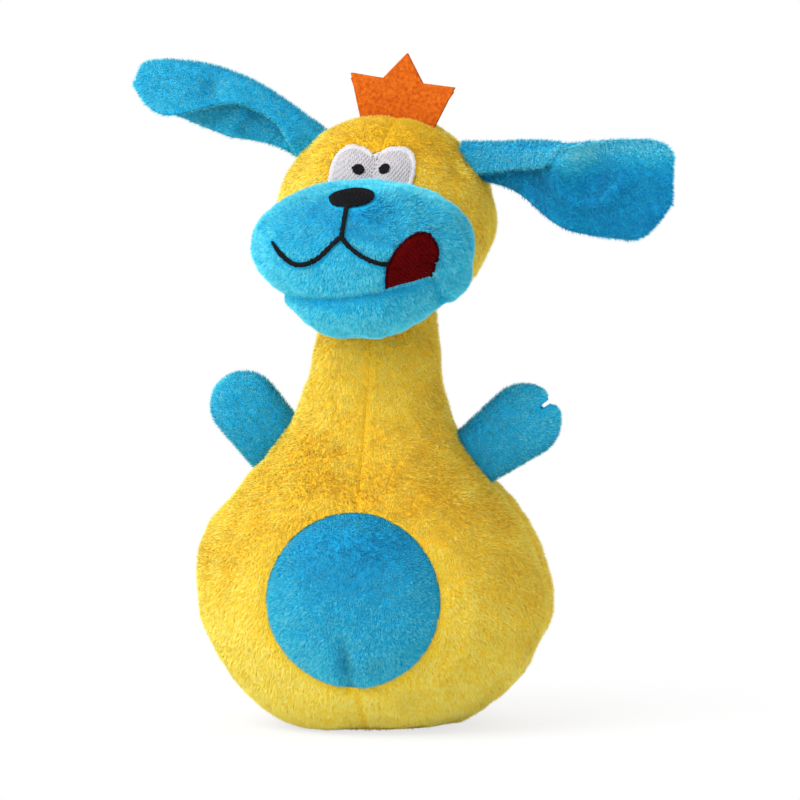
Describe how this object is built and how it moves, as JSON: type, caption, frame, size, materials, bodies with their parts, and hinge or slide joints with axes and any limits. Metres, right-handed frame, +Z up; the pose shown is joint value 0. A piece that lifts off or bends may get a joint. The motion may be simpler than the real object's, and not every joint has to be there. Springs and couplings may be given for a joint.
{
  "type": "squeaky dog toy",
  "caption": "Stuffed plush dog with a pear-shaped body, folded ears and a felt crown; its head nods, and its round tummy presses in on a bellows squeaker.",
  "frame": {"origin": "middle of the underside of the base panel", "axes": "+Z up; the face looks along -Y; +X is the dog's own left"},
  "size_m": [0.1621, 0.1044, 0.1981],
  "materials": {
    "plush_yellow": "short plush pile",
    "plush_blue": "short plush pile",
    "felt_orange": "pressed felt",
    "thread_white": "satin stitch",
    "thread_black": "satin stitch",
    "thread_red": "satin stitch",
    "stuffing": "polyester fibre",
    "bellows_plastic": "soft moulded",
    "hard_plastic": "moulded",
    "reed_film": "clear film"
  },
  "bodies": {
    "body": {"body_front_left": "plush_yellow", "body_front_right": "plush_yellow", "body_back": "plush_yellow", "base_panel": "plush_yellow", "body_stuffing": "stuffing", "squeaker_pleats": "bellows_plastic", "squeaker_back": "bellows_plastic", "reed_housing": "hard_plastic", "reed_block": "hard_plastic", "reed_clamp": "hard_plastic"},
    "tummy": {"tummy_panel": "plush_blue", "tummy_stuffing": "stuffing", "squeaker_front": "bellows_plastic"},
    "reed": {"reed": "reed_film"},
    "head": {"head_front_left": "plush_yellow", "head_front_right": "plush_yellow", "head_back": "plush_yellow", "head_stuffing": "stuffing", "muzzle_upper": "plush_blue", "muzzle_lower": "plush_blue", "muzzle_stuffing": "stuffing", "eye_patch": "thread_white", "pupil_left": "thread_black", "pupil_right": "thread_black", "nose": "thread_black", "mouth_line": "thread_black", "tongue": "thread_red"},
    "ear_left": {"ear_left_outer": "plush_blue", "ear_left_inner": "plush_blue"},
    "ear_right": {"ear_right_outer": "plush_blue", "ear_right_inner": "plush_blue"},
    "arm_left": {"arm_left_front": "plush_blue", "arm_left_back": "plush_blue", "arm_left_stuffing": "stuffing"},
    "arm_right": {"arm_right_front": "plush_blue", "arm_right_back": "plush_blue", "arm_right_stuffing": "stuffing"},
    "crown": {"crown": "felt_orange"}
  },
  "joints": [
    {"name": "tummy_press", "type": "slide", "parent": "body", "child": "tummy", "axis": [0, 1, 0], "range_m": [0, 0.009], "stiffness_N_per_m": 150, "deforming": ["squeaker_pleats"]},
    {"name": "reed_flutter", "type": "hinge", "parent": "body", "child": "reed", "pos_m": [0, -0.0161, 0.04145], "axis": [-1, 0, 0], "range_deg": [0, 8], "stiffness_Nm_per_rad": 0.000002},
    {"name": "neck_nod", "type": "hinge", "parent": "body", "child": "head", "pos_m": [0, 0, 0.12], "axis": [1, 0, 0], "range_deg": [-18, 18], "stiffness_Nm_per_rad": 0.4},
    {"name": "ear_left_flop", "type": "hinge", "parent": "head", "child": "ear_left", "pos_m": [0.03001, -0.00255, 0.16565], "axis": [0.1037, 0.9945, -0.0127], "range_deg": [-30, 30], "stiffness_Nm_per_rad": 0.006},
    {"name": "ear_right_flop", "type": "hinge", "parent": "head", "child": "ear_right", "pos_m": [-0.01808, 0.00255, 0.17155], "axis": [-0.1037, -0.9945, 0.0127], "range_deg": [-30, 30], "stiffness_Nm_per_rad": 0.006},
    {"name": "arm_left_swing", "type": "hinge", "parent": "body", "child": "arm_left", "pos_m": [0.03051, 0, 0.08], "axis": [0, 1, 0], "range_deg": [-20, 20], "stiffness_Nm_per_rad": 0.02},
    {"name": "arm_right_swing", "type": "hinge", "parent": "body", "child": "arm_right", "pos_m": [-0.02868, 0, 0.0825], "axis": [0, -1, 0], "range_deg": [-20, 20], "stiffness_Nm_per_rad": 0.02},
    {"name": "crown_bend", "type": "hinge", "parent": "head", "child": "crown", "pos_m": [0.00741, 0, 0.18035], "axis": [0.9871, -0.1045, -0.1212], "range_deg": [-25, 25], "stiffness_Nm_per_rad": 0.002}
  ]
}
